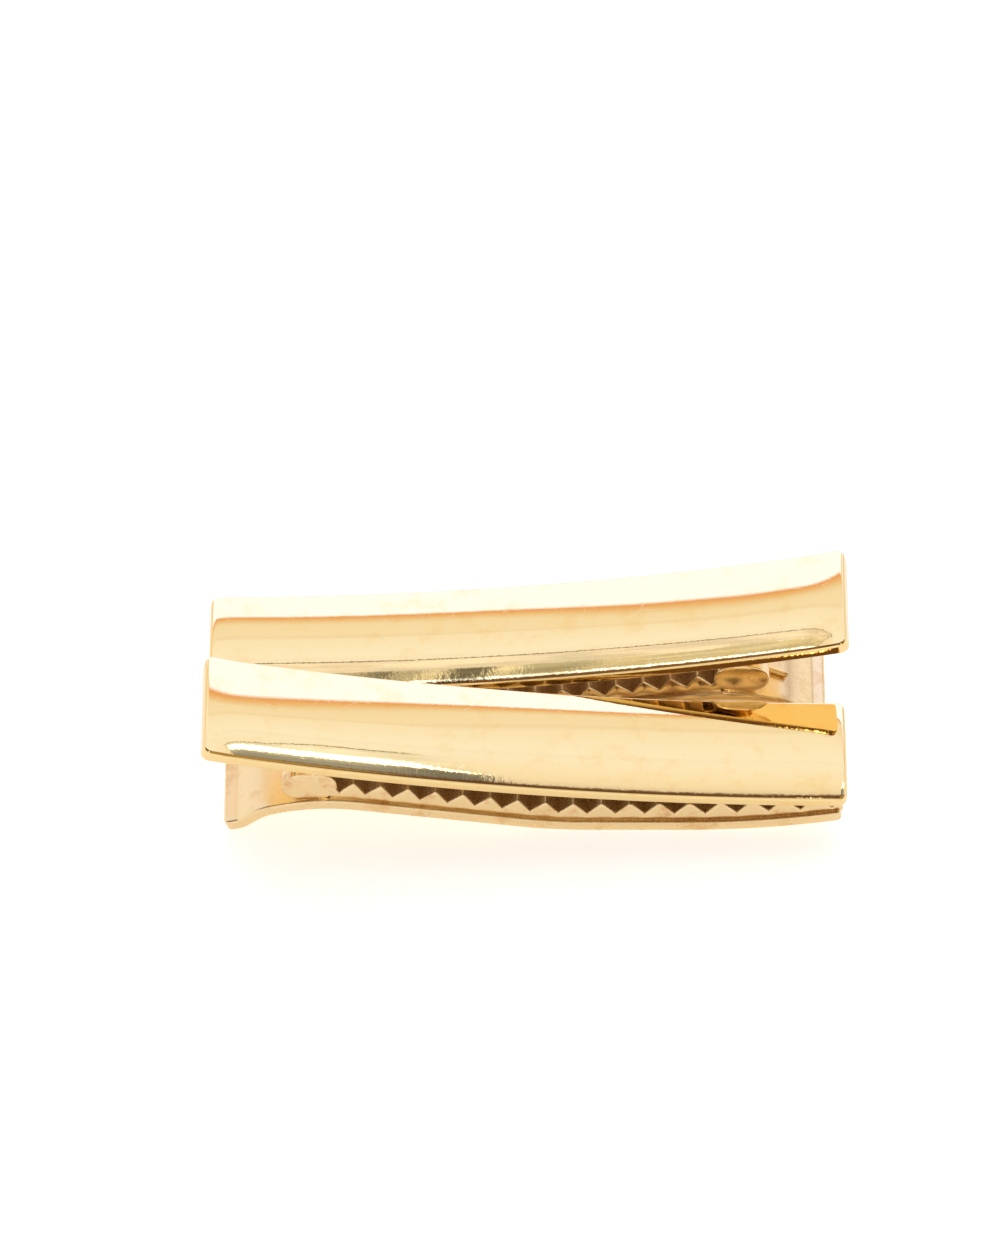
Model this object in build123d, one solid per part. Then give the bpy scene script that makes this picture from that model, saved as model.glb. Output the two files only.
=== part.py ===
"""A pair of sprung toothed clips, lying head to tail on a table.

Each clip has a long polished top plate with a hinge bracket under it, and a bent bottom plate that
carries a cast toothed jaw with two hinge lugs. A pin joins bracket and lugs, and a torsion spring on
the pin pushes the thumb ends apart, which shuts the jaws. Millimetres, +Z up, table at z = 0, origin
under the middle of the pair. In a clip's own frame x = 0 is at half length, the thumb end lies
towards -X and the tip towards +X.
"""

from build123d import *
import math
import os

# Top plate
clip_length = 70.0
plate_width = 13.2
plate_thickness = 1.5
plate_corner_radius = 1.0
plate_edge_radius = 0.35
plate_underside_edge_radius = 0.2
tip_gap = 1.45  # between the two plates at the tip
hinge_room = 3.37  # between the hinge pin's axis and the top plate's underside

# Bottom plate: a strip whose lower face runs along these straight stretches and bends, whose
# places are measured along the clip from its thumb end or from its tip
base_width = 12.7
base_thickness = 1.55
base_edge_radius = 0.25
base_end_radius = 0.4
tip_setback = 0.25  # the bottom plate ends this far short of the top plate's tip
lip_angle = 23.0
toe_angle = 43.0
arch_back_angle = 17.0
arch_front_angle = 9.8
tip_angle = 12.5
lip_bend_from_thumb = 4.15
toe_bend_from_thumb = 6.5
arch_bend_from_thumb = 12.2
belly_from_thumb = 37.9
belly_from_tip = 9.1
lip_bend_radius = 2.6
toe_bend_radius = 5.0
arch_bend_radius = 18.0
belly_back_radius = 47.0
belly_front_radius = 79.0

# Toothed jaw
jaw_width = 11.9
jaw_height = 2.8
jaw_tip_drop = 0.6  # the jaw gets this much lower towards the tip
jaw_tip_setback = 0.3
closed_gap = 0.05  # between the last teeth and the top plate
notch_pitch = 3.16
notch_depth = 1.78
notch_angle = 80.0
notch_floor = 0.12
first_notch_from_thumb = 14.8
notch_tip_margin = 1.0  # at least this much of the jaw's crest is left beyond the last notch

# Hinge
lug_length = 6.15
lug_height = 4.55
lug_thickness = 1.6
lug_sink = 0.12  # the lug's round underside sits this deep in the solder on the bottom plate
slot_end_wall = 0.75  # between the slot for the bracket and the lugs' tip-side ends
pin_radius = 0.75
pin_socket_depth = 1.1
pin_from_lug_middle = 0.3
pin_clearance = 0.05
lug_middle_from_thumb = 11.3
ear_thickness = 1.2
ear_wall = 1.05  # round the pin
ear_side_clearance = 0.1
foot_thickness = 0.7
foot_length = 4.0
foot_corner_radius = 0.8

# Torsion spring
wire_diameter = 0.73
coil_pin_gap = 0.2
coil_turns = 3
coil_side_gap = 0.5  # between the coil and the bracket's ears
spring_seat_gap = 0.13
lower_leg_seat = 2.9  # from the pin to where the lower leg bears on the arch
lower_leg_length = 5.6
upper_leg_reach = 5.0
leg_hook_radius = 0.9
leg_hook_length = 1.2

# The pair
clip_spacing = 14.6


def from_thumb(distance):
    """The place along the clip at a distance from its thumb end."""
    return distance - clip_length / 2


def from_tip(distance):
    """The place along the clip at a distance from its tip."""
    return clip_length / 2 - distance


def slope_line(point, slope_angle, x):
    """The point at x on the line through a point that rises by an angle, in degrees, towards +X."""
    return (x, point[1] + math.tan(math.radians(slope_angle)) * (x - point[0]))


def base_tip():
    """The lower face's end at the tip, where the strip is cut square."""
    lean = math.sin(math.radians(tip_angle)) * base_thickness
    return slope_line((from_tip(belly_from_tip), 0), tip_angle, from_tip(tip_setback) + lean / 2)


def base_corners():
    """Corners of the bottom plate's lower face, from the thumb end's lip to the tip."""
    belly_back = (from_thumb(belly_from_thumb), 0)
    belly_front = (from_tip(belly_from_tip), 0)
    arch = slope_line(belly_back, -arch_front_angle, from_thumb(arch_bend_from_thumb))
    toe = slope_line(arch, arch_back_angle, from_thumb(toe_bend_from_thumb))
    lip = slope_line(toe, toe_angle, from_thumb(lip_bend_from_thumb))
    lean = math.radians(lip_angle)
    end_drop = base_end_radius * (math.sin(lean) + math.cos(lean) - 1)
    end = (lip[0] - (lip[1] + end_drop) / math.tan(lean), -end_drop)
    return [end, lip, toe, arch, belly_back, belly_front, base_tip()]


def base_radii():
    """Signed bend radii of the lower face: plus where it turns up towards the tip, minus where down."""
    return [lip_bend_radius, -toe_bend_radius, -arch_bend_radius, belly_back_radius, belly_front_radius]


def shifted(height, tip_drop=0.0):
    """Corners and radii of the line at a height over the bottom plate's lower face."""
    corners = base_corners()
    headings = []
    for (x0, z0), (x1, z1) in zip(corners, corners[1:]):
        headings.append(math.atan2(z1 - z0, x1 - x0))
    moved = [square_off(corners[0], headings[0], height)]
    for corner, before, after in zip(corners[1:], headings, headings[1:]):
        middle = (before + after) / 2
        moved.append(square_off(corner, middle, height / math.cos((after - before) / 2)))
    moved.append(square_off(corners[-1], headings[-1], height - tip_drop))
    return moved, [abs(radius - height) for radius in base_radii()]


def square_off(point, heading, height):
    """The point at a height square to a line of this heading."""
    return (point[0] - height * math.sin(heading), point[1] + height * math.cos(heading))


def path_over_base(height, tip_drop=0.0):
    """The bent line at a height over the bottom plate's lower face, in the XZ plane."""
    corners, radii = shifted(height, tip_drop)
    return Plane.XZ * FilletPolyline(*corners, radius=radii)


def strip(low, high, tip_drop=0.0):
    """The face between two lines that run at these heights over the bottom plate's lower face."""
    under = path_over_base(low)
    over = path_over_base(high, tip_drop)
    ends = [Line(under @ 0, over @ 0), Line(under @ 1, over @ 1)]
    return make_face([*under.edges(), *over.edges(), *ends])


def height_at(line, x):
    """The height at which a bent line passes over x."""
    reach = clip_length
    upright = Line((x, 0, -reach), (x, 0, reach))
    return (line & upright).vertices()[0].Z


def box_between(x0, x1, z0, z1, width):
    """A block across the clip's middle, between two places along it and two heights."""
    middle = Pos((x0 + x1) / 2, 0, (z0 + z1) / 2)
    return middle * Box(x1 - x0, width, z1 - z0)


def through(face, width):
    """A face in the XZ plane, thickened by equal parts to both sides."""
    return extrude(face, width / 2, both=True)


def underside_bend():
    """The centre and radius of the top plate's underside: level at the tip, and over the pin."""
    corners, _ = shifted(base_thickness)
    height_at_tip = corners[-1][1] + tip_gap
    pin_x, pin_z = pin_place()
    run = from_tip(0) - pin_x
    rise = pin_z + hinge_room - height_at_tip
    radius = (run**2 + rise**2) / (2 * rise)
    return from_tip(0), height_at_tip + radius, radius


def underside_height(x):
    """The height of the top plate's underside over x."""
    centre_x, centre_z, radius = underside_bend()
    return centre_z - math.sqrt(radius**2 - (x - centre_x) ** 2)


def plate_layer(depth_over, depth_under):
    """The face between two depths below the top plate's underside, all along; minus is above it."""
    centre_x, centre_z, radius = underside_bend()
    thumb_lean = math.asin(clip_length / (radius - plate_thickness))

    def at(depth, lean):
        reach = radius + depth
        return (centre_x - reach * math.sin(lean), 0, centre_z - reach * math.cos(lean))

    over = ThreePointArc(*[at(depth_over, thumb_lean * share) for share in (0, 0.5, 1)])
    under = ThreePointArc(*[at(depth_under, thumb_lean * share) for share in (0, 0.5, 1)])
    ends = [Line(over @ 0, under @ 0), Line(over @ 1, under @ 1)]
    return make_face([*over.edges(), *under.edges(), *ends])


def make_top_plate():
    """The polished bar: one long bend, round corners in plan and round edges all along."""
    plate = through(plate_layer(-plate_thickness, 0), plate_width)
    ends = plate.faces().filter_by(Axis.Y, reverse=True).sort_by(Axis.X)
    corners = []
    for end in (ends[0], ends[-1]):
        corners += end.edges().sort_by(Axis.Y)[0:1] + end.edges().sort_by(Axis.Y)[-1:]
    plate = fillet(corners, plate_corner_radius)
    over = plate.faces().filter_by(GeomType.CYLINDER).sort_by(SortBy.AREA)[-2:].sort_by(Axis.Z)
    plate = fillet(over[-1].edges(), plate_edge_radius)
    under = plate.faces().filter_by(GeomType.CYLINDER).sort_by(SortBy.AREA)[-1:]
    return fillet(under[0].edges(), plate_underside_edge_radius)


def make_bottom_plate():
    """The bent strip: tip, belly on the table, arch under the hinge, toe and flared lip."""
    side = strip(0, base_thickness)
    ends = side.vertices().sort_by(Axis.X)
    side = fillet(ends[0:2] + ends[-2:], base_end_radius)
    plate = through(side, base_width)
    sides = plate.faces().filter_by(Axis.Y)
    return fillet(sides[0].edges() + sides[-1].edges(), base_edge_radius)


def pin_place():
    """The hinge pin's axis, as x and z."""
    middle_x, middle_z = lug_middle()
    return (middle_x - pin_from_lug_middle, middle_z)


def lug_middle():
    """The middle of a lug's side, as x and z: it stands in the solder on the bottom plate."""
    middle_x = from_thumb(lug_middle_from_thumb)
    floor = height_at(path_over_base(base_thickness), middle_x)
    return (middle_x, floor - lug_sink + lug_height / 2)


def lug_face():
    """A lug's side: a pill shape lying along the clip."""
    middle_x, middle_z = lug_middle()
    pill = SlotOverall(lug_length, lug_height)
    return Plane((middle_x, 0, middle_z), x_dir=(1, 0, 0), z_dir=(0, -1, 0)) * pill


def notch_face():
    """A tooth gap with its mouth towards +Z and its floor at the origin."""
    flank = math.tan(math.radians(notch_angle / 2))
    reach = notch_depth * 2
    half_mouth = notch_floor / 2 + reach * flank
    outline = Polyline(
        (-notch_floor / 2, 0, 0),
        (notch_floor / 2, 0, 0),
        (half_mouth, 0, reach),
        (-half_mouth, 0, reach),
        close=True,
    )
    return make_face(outline)


def notches(crest):
    """The tooth gaps, square to the jaw's crest and one pitch apart along it."""
    first_x = from_thumb(first_notch_from_thumb)
    start = crest.param_at_point((first_x, 0, height_at(crest, first_x))) * crest.length
    room = crest.length - notch_tip_margin - start
    gaps = []
    for number in range(int(room / notch_pitch) + 1):
        share = (start + number * notch_pitch) / crest.length
        place = crest @ share
        along = crest % share
        across = Vector(-along.Z, 0, along.X)
        floor = place - across * notch_depth
        tilt = -math.degrees(math.atan2(along.Z, along.X))
        gaps.append(Pos(*floor) * Rot(0, tilt, 0) * notch_face())
    return gaps


def make_toothed_jaw():
    """The casting on the bottom plate: a bar with notches across it, and a lug at each side."""
    middle_x, middle_z = lug_middle()
    seat = strip(0, base_thickness)
    crest = path_over_base(base_thickness + jaw_height, jaw_tip_drop).wire()
    bar = strip(base_thickness, base_thickness + jaw_height, jaw_tip_drop)
    bar_tip = from_tip(tip_setback + jaw_tip_setback)
    bar &= Pos((middle_x + bar_tip) / 2, 0, 0) * Plane.XZ * Rectangle(bar_tip - middle_x, clip_length)
    for gap in notches(crest):
        bar -= gap
    bar -= plate_layer(-clip_length, closed_gap)
    lug = lug_face() - seat
    jaw = through(bar, jaw_width) + through(lug, jaw_width)
    slot_width = jaw_width - 2 * lug_thickness
    slot_end = middle_x + lug_length / 2 - slot_end_wall
    slot = box_between(middle_x - lug_length, slot_end, 0, middle_z + lug_height, slot_width)
    socket = slot_width + 2 * pin_socket_depth
    return jaw - slot - across_pin(pin_radius, socket)


def across_pin(radius, length):
    """A cylinder across the clip on the hinge pin's axis."""
    pin_x, pin_z = pin_place()
    return Pos(pin_x, 0, pin_z) * Rot(90, 0, 0) * Cylinder(radius, length)


def make_hinge_pin():
    """The pin, blind in both lugs."""
    return across_pin(pin_radius, jaw_width - 2 * lug_thickness + 2 * pin_socket_depth)


def bracket_widths():
    """The bracket's width between the lugs, and the width between its ears."""
    bracket_width = jaw_width - 2 * lug_thickness - 2 * ear_side_clearance
    return bracket_width, bracket_width - 2 * ear_thickness


def make_hinge_bracket():
    """A foot that follows the top plate's underside, and two ears on the pin, inside the lugs."""
    pin_x, pin_z = pin_place()
    bracket_width, between_ears = bracket_widths()
    foot = plate_layer(0, foot_thickness)
    foot &= Pos(pin_x, 0, 0) * Plane.XZ * Rectangle(foot_length, clip_length)
    plate = through(foot, bracket_width)
    uprights = plate.edges().filter_by(GeomType.LINE).filter_by(Axis.Y, reverse=True)
    plate = fillet(uprights, foot_corner_radius)
    ear_radius = pin_radius + ear_wall
    web_top = underside_height(pin_x + ear_radius)
    ears = across_pin(ear_radius, bracket_width)
    ears += box_between(pin_x - ear_radius, pin_x + ear_radius, pin_z, web_top, bracket_width)
    ears -= box_between(pin_x - foot_length, pin_x + foot_length, 0, pin_z * 2, between_ears)
    ears -= through(foot, bracket_width)
    bracket = plate + ears
    bracket -= through(plate_layer(-plate_thickness, 0), plate_width)
    return bracket - across_pin(pin_radius + pin_clearance, plate_width)


def helix_point(turned, climb, whole):
    """Place and heading on the coil after it has turned by an angle from its start, in degrees.

    It starts where the upper leg, which climbs by an angle, meets it, and turns by the whole angle.
    Seen from the front it turns clockwise and moves towards the back by one pitch a turn, so that
    it fills the width between the bracket's ears but for a gap at each side.
    """
    pin_x, pin_z = pin_place()
    coil_radius = coil_middle_radius()
    angle = math.radians(90 - climb - turned)
    _, between_ears = bracket_widths()
    coil_pitch = (between_ears - 2 * coil_side_gap - wire_diameter) * 360 / whole
    y = coil_pitch * (turned - whole / 2) / 360
    place = Vector(pin_x + coil_radius * math.cos(angle), y, pin_z + coil_radius * math.sin(angle))
    rise = coil_pitch / (2 * math.pi)
    heading = Vector(coil_radius * math.sin(angle), rise, -coil_radius * math.cos(angle))
    return place, heading.normalized()


def coil_middle_radius():
    """The radius of the middle of the wire round the pin."""
    return pin_radius + coil_pin_gap + wire_diameter / 2


def leg_angles():
    """How steeply the upper leg climbs and the lower leg falls from the coil to its seat."""
    pin_x, pin_z = pin_place()
    coil_radius = coil_middle_radius()
    seat = wire_diameter / 2 + spring_seat_gap
    lower_x = pin_x - lower_leg_seat
    lower_z = height_at(path_over_base(base_thickness), lower_x) + seat
    upper_z = underside_height(pin_x - upper_leg_reach) - seat
    fall = math.degrees(math.atan2(pin_z - coil_radius - lower_z, lower_leg_seat))
    climb = math.degrees(math.atan2(upper_z - pin_z - coil_radius, upper_leg_reach))
    return climb, fall


def biarc(start, start_heading, end, end_heading):
    """Two arcs that leave one place and reach another on the given headings, tangent in between."""
    chord = end - start
    both = start_heading + end_heading
    square = 2 * (start_heading.dot(end_heading) - 1)
    linear = -2 * chord.dot(both)
    reach = (-linear - math.sqrt(linear**2 - 4 * square * chord.dot(chord))) / (2 * square)
    first = start + start_heading * reach
    last = end - end_heading * reach
    middle = (first + last) * 0.5
    joint = Edge.make_tangent_arc(start, start_heading, middle)
    return [joint, Edge.make_tangent_arc(middle, last - first, end)]


def make_spring():
    """One unbroken round wire: upper leg hooked outwards, helix round the pin, straight lower leg."""
    climb, fall = leg_angles()
    whole = 360 * coil_turns + 180 - climb - fall
    quarters = round(whole / 90)
    turns = []
    places = [helix_point(whole * step / quarters, climb, whole) for step in range(quarters + 1)]
    for (place, heading), (next_place, next_heading) in zip(places, places[1:]):
        turns += biarc(place, heading, next_place, next_heading)
    first_place, first_heading = places[0]
    last_place, last_heading = places[-1]
    upper_end = first_place - first_heading * (upper_leg_reach - leg_hook_radius)
    lower_end = last_place + last_heading * lower_leg_length
    hook_heading = (Vector(0, -1, 0) + first_heading * first_heading.Y).normalized()
    hook_start = upper_end - first_heading * leg_hook_radius + hook_heading * leg_hook_radius
    hook_end = hook_start + hook_heading * leg_hook_length
    hook = [
        Edge.make_line(hook_end, hook_start),
        Edge.make_tangent_arc(hook_start, hook_heading * -1, upper_end),
    ]
    legs = [Edge.make_line(upper_end, first_place), Edge.make_line(last_place, lower_end)]
    path = Wire([*hook, legs[0], *turns, legs[1]])
    section = Plane(origin=hook_end, z_dir=hook_heading * -1) * Circle(wire_diameter / 2)
    print("least gap between turns", round(least_coil_gap(climb, whole), 3))
    return sweep(section, path=path)


def least_coil_gap(climb, whole):
    """The least gap between the wire's neighbouring turns, measured on points along the helix."""
    steps = 72
    count = round(whole / 360 * steps)
    places = [helix_point(number * 360 / steps, climb, whole)[0] for number in range(count + 1)]
    nearest = coil_middle_radius() * 2
    for number, place in enumerate(places):
        for other in places[number + steps // 2 :]:
            nearest = min(nearest, (other - place).length)
    return nearest - wire_diameter


PIECES = {
    "top_plate": make_top_plate,
    "hinge_bracket": make_hinge_bracket,
    "bottom_plate": make_bottom_plate,
    "toothed_jaw": make_toothed_jaw,
    "hinge_pin": make_hinge_pin,
    "spring": make_spring,
}

# The rear clip is the front clip turned half a turn about the vertical.
CLIP_PLACES = {
    "front_clip": Pos(0, -clip_spacing / 2, 0),
    "rear_clip": Pos(0, clip_spacing / 2, 0) * Rot(0, 0, 180),
}

os.makedirs("parts", exist_ok=True)
for piece_name, make_piece in PIECES.items():
    piece = make_piece()
    for clip_name, clip_place in CLIP_PLACES.items():
        export_step(clip_place * piece, f"parts/{clip_name}_{piece_name}.step")
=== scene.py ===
import bmesh
import bpy
import math
import numpy as np
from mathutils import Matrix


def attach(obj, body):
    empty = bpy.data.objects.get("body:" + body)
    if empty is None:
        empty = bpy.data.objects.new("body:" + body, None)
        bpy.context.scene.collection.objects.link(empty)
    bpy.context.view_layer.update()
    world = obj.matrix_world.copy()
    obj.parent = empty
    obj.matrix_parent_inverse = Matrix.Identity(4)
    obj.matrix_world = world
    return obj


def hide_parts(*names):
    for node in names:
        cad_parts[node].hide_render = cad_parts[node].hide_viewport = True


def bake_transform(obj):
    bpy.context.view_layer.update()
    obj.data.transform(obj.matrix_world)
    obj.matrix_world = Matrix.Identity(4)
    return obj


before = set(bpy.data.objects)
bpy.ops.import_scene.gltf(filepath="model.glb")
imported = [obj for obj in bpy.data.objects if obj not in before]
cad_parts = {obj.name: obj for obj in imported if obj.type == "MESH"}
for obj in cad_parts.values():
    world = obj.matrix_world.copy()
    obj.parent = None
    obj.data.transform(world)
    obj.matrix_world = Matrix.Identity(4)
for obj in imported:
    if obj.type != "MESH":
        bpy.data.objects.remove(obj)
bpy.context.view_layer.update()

# ---- Bottom plates -----------------------------------------------------------------------
# A strip of brass, bent and gold plated: straight tip, belly on the table, arch under the hinge,
# steep toe and a flared lip for the thumb. The two clips are equal and lie head to tail; each is
# worked out in its own frame in millimetres, thumb end towards -X, and the rear one is turned.
clip_length = 70.0
clip_spacing = 14.6
clips = {"front": (1.0, -clip_spacing / 2), "rear": (-1.0, clip_spacing / 2)}
strip_width = 12.7
strip_thickness = 1.55
strip_edge = 0.24
strip_end = 0.4
strip_tip_setback = 0.25
strip_tip_worn = 0.3  # length lost by wear
strip_tip_round = 0.85
strip_end_draw = 0.5  # how much of an end's rounding also narrows it
lip_corner = 0.8
lip_corner_depth = 0.7
edge_share = 0.45  # the most of the thickness an edge radius takes
solder_shade_across = 5.6  # the rough solder along the jaw, darkened as painted shade of the joint, begins here, seen from the middle
solder_shade_skin = 0.1
solder_shade_start, solder_shade_fades, solder_shade_full = 12.5, 25.0, 55.0
solder_shade_least = 0.3
closing_rings = 6
merge_distance, degenerate_length = 2e-6, 1e-6  # metres
crease_angle = 50
lip_angle, toe_angle, arch_back_angle, arch_front_angle, tip_angle = np.radians([17.6, 43, 17, 9.8, 12.5])
lip_x, toe_x, arch_x, belly_back_x, belly_front_x = -30.85, -28.5, -22.8, 2.9, 25.9
strip_bends = [2.6, 5.0, 18.0, 47.0, 79.0]
arch_z = math.tan(arch_front_angle) * (belly_back_x - arch_x)
toe_z = arch_z - math.tan(arch_back_angle) * (arch_x - toe_x)
lip_z = toe_z - math.tan(toe_angle) * (toe_x - lip_x)
lip_drop = strip_end * (math.sin(lip_angle) + math.cos(lip_angle) - 1)
tip_x = clip_length / 2 - strip_tip_setback + math.sin(tip_angle) * strip_thickness / 2
strip_corners = [
    (lip_x - (lip_z + lip_drop) / math.tan(lip_angle), -lip_drop),
    (lip_x, lip_z),
    (toe_x, toe_z),
    (arch_x, arch_z),
    (belly_back_x, 0),
    (belly_front_x, 0),
    (tip_x, math.tan(tip_angle) * (tip_x - belly_front_x)),
]


def bent_line(corners, radii, step):
    """Points, headings and running lengths of straight stretches joined by tangent arcs. An arc starts
    its radius times the tangent of half the turn before its corner, and its points stand one radius
    from its centre at evenly spaced angles."""
    corners = np.array(corners, float)
    headings = np.arctan2(*np.diff(corners, axis=0).T[::-1])
    places, angles = [corners[:1]], [headings[:1]]
    for corner, before, after, radius in zip(corners[1:-1], headings, headings[1:], radii):
        side = math.copysign(1.0, after - before)
        setback = radius * abs(math.tan((after - before) / 2))
        begin = corner - setback * np.array([math.cos(before), math.sin(before)])
        centre = begin + side * radius * np.array([-math.sin(before), math.cos(before)])
        angle = np.linspace(before, after, int(radius * abs(after - before) / step) + 3)
        places.append(centre + side * radius * np.stack([np.sin(angle), -np.cos(angle)], axis=1))
        angles.append(angle)
    places = np.vstack([*places, corners[-1:]])
    angles = np.concatenate([*angles, headings[-1:]])
    lengths = np.concatenate([[0], np.cumsum(np.linalg.norm(np.diff(places, axis=0), axis=1))])
    return places, angles, lengths


strip_places, strip_headings, strip_lengths = bent_line(strip_corners, strip_bends, step=0.2)


def over_strip(along, height, across=0.0):
    """Points at lengths along the strip's lower face and heights square to it: the bent line's own
    point plus the height times the line's upward normal."""
    along, height, across = np.broadcast_arrays(np.asarray(along, float), height, across)
    heading = np.interp(along, strip_lengths, strip_headings)
    x = np.interp(along, strip_lengths, strip_places[:, 0]) - height * np.sin(heading)
    z = np.interp(along, strip_lengths, strip_places[:, 1]) + height * np.cos(heading)
    return np.stack([x, across, z], axis=-1)


def rounded_sections(half, low, high, edge, arc_steps=4, flat_steps=16):
    """Across and height of rounded rectangles, one for each value of the first four inputs: at every
    corner a quarter circle of the edge radius, and evenly spaced points on the two flats between."""
    quarter = np.linspace(0, math.pi / 2, arc_steps + 1)
    flat = np.linspace(1, -1, flat_steps + 1)[1:-1]
    turn = np.concatenate([quarter - math.pi / 2, quarter, quarter + math.pi / 2, quarter + math.pi])
    side = np.repeat([1.0, 1.0, -1.0, -1.0], arc_steps + 1)
    upper = np.repeat([0.0, 1.0, 1.0, 0.0], arc_steps + 1)
    first, last = 2 * (arc_steps + 1), 4 * (arc_steps + 1)
    cosine = np.concatenate([np.cos(turn[:first]), 0 * flat, np.cos(turn[first:last]), 0 * flat])
    sine = np.concatenate([np.sin(turn[:first]), 0 * flat + 1, np.sin(turn[first:last]), 0 * flat - 1])
    side = np.concatenate([side[:first], flat, side[first:], -flat])
    upper = np.concatenate([upper[:first], 0 * flat + 1, upper[first:], 0 * flat])
    columns = [np.broadcast_to(value, np.shape(half)) for value in (half, low, high, edge)]
    half, low, high, edge = [np.reshape(column, (-1, 1)) for column in columns]
    across = side * (half - edge) + edge * cosine
    height = upper * (high - edge) + (1 - upper) * (low + edge) + edge * sine
    return across, height


def stations(length, end, steps, middle_step):
    """Places along a length: spaced like the cosine of an even angle inside both round ends, and
    evenly between them."""
    ends = end * (1 - np.cos(np.linspace(0, math.pi / 2, steps + 1)))
    middle = np.linspace(end, length - end, int((length - 2 * end) / middle_step) + 2)
    return np.concatenate([ends, middle[1:-1], (length - ends)[::-1]])


def circle_inset(from_end, radius):
    """How far a quarter circle of the radius draws in at a distance from the end."""
    short = np.clip(radius - from_end, 0, radius)
    return radius - np.sqrt(radius**2 - short**2)


def closing(ring):
    """A ring drawn in, in even steps, to the middle of its own points, which closes an end."""
    share = np.linspace(0, 1, closing_rings)[:, None, None]
    return ring[None] * (1 - share) + ring.mean(axis=0) * share


def closed(grid):
    """A grid's sheet with the two that close its ends."""
    return [grid, closing(grid[0]), closing(grid[-1])]


def end_masks(mask, value):
    """A sheet's mask with even ones for the two sheets that close its ends."""
    ends = np.full((closing_rings, mask.shape[1]), value)
    return [mask, ends, ends]


def mesh_piece(name, clip, sheets, masks=None):
    """One object from grids of points in a clip's own frame, where every four neighbours make a face
    and each row is closed round. Doubles are merged, which closes seams and ends, and faces turned
    outwards. Millimetres become metres, and x and y change sign on the rear clip."""
    side, shift = clips[clip]
    points, faces, values, start = [], [], [], 0
    for number, grid in enumerate(sheets):
        rows, columns = grid.shape[:2]
        index = start + np.arange(rows * columns).reshape(rows, columns)
        index = np.hstack([index, index[:, :1]])
        corners = [index[:-1, :-1], index[1:, :-1], index[1:, 1:], index[:-1, 1:]]
        faces.append(np.stack(corners, axis=-1).reshape(-1, 4))
        points.append((grid * [side, side, 1] + [0, shift, 0]).reshape(-1, 3) / 1000)
        values.append(np.zeros(rows * columns) if masks is None else masks[number].reshape(-1))
        start += rows * columns
    mesh = bpy.data.meshes.new(name)
    mesh.from_pydata(np.vstack(points).tolist(), [], np.vstack(faces).tolist())
    if masks is not None:
        mask = mesh.attributes.new("mask", "FLOAT", "POINT")
        mask.data.foreach_set("value", np.concatenate(values).astype(np.float32))
    work = bmesh.new()
    work.from_mesh(mesh)
    bmesh.ops.remove_doubles(work, verts=work.verts, dist=merge_distance)
    bmesh.ops.dissolve_degenerate(work, edges=work.edges, dist=degenerate_length)
    bmesh.ops.recalc_face_normals(work, faces=work.faces)
    work.to_mesh(mesh)
    work.free()
    mesh.shade_smooth()
    mesh.set_sharp_from_angle(angle=math.radians(crease_angle))
    piece = bpy.data.objects.new(name, mesh)
    bpy.context.scene.collection.objects.link(piece)
    return piece


def add_node(tree, kind, links=None, **settings):
    """A node with its settings. A link's value is a number or colour for that input, or the output
    that feeds it."""
    node = tree.nodes.new(kind)
    for setting, value in settings.items():
        setattr(node, setting, value)
    for key, value in (links or {}).items():
        if isinstance(value, bpy.types.NodeSocket):
            tree.links.new(value, node.inputs[key])
        else:
            node.inputs[key].default_value = value
    return node


def start_group(name, inputs, outputs):
    """An empty node group with named number inputs, one vector input called Place, and outputs."""
    group = bpy.data.node_groups.new(name, "ShaderNodeTree")
    group.interface.new_socket("Place", in_out="INPUT", socket_type="NodeSocketVector")
    for label, value in inputs.items():
        socket = group.interface.new_socket(label, in_out="INPUT", socket_type="NodeSocketFloat")
        socket.default_value = value
    for label in outputs:
        group.interface.new_socket(label, in_out="OUTPUT", socket_type="NodeSocketFloat")
    return group, group.nodes.new("NodeGroupInput").outputs, group.nodes.new("NodeGroupOutput").inputs


def calculate(tree, operation, first, second=0.0):
    """One arithmetic step on two numbers or outputs."""
    return add_node(tree, "ShaderNodeMath", {0: first, 1: second}, operation=operation).outputs[0]


def between(tree, value, low, high, to_low=0.0, to_high=1.0):
    """A value brought smoothly from one range to another and held at its ends."""
    links = {"Value": value, "From Min": low, "From Max": high, "To Min": to_low, "To Max": to_high}
    return add_node(tree, "ShaderNodeMapRange", links, interpolation_type="SMOOTHSTEP").outputs[0]


def fleck_noise(tree, place, scale, detail, roughness=0.5):
    """Soft noise. The scale counts its cells in one unit of the place."""
    links = {"Vector": place, "Scale": scale, "Detail": detail, "Roughness": roughness}
    return add_node(tree, "ShaderNodeTexNoise", links).outputs["Fac"]


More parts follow.
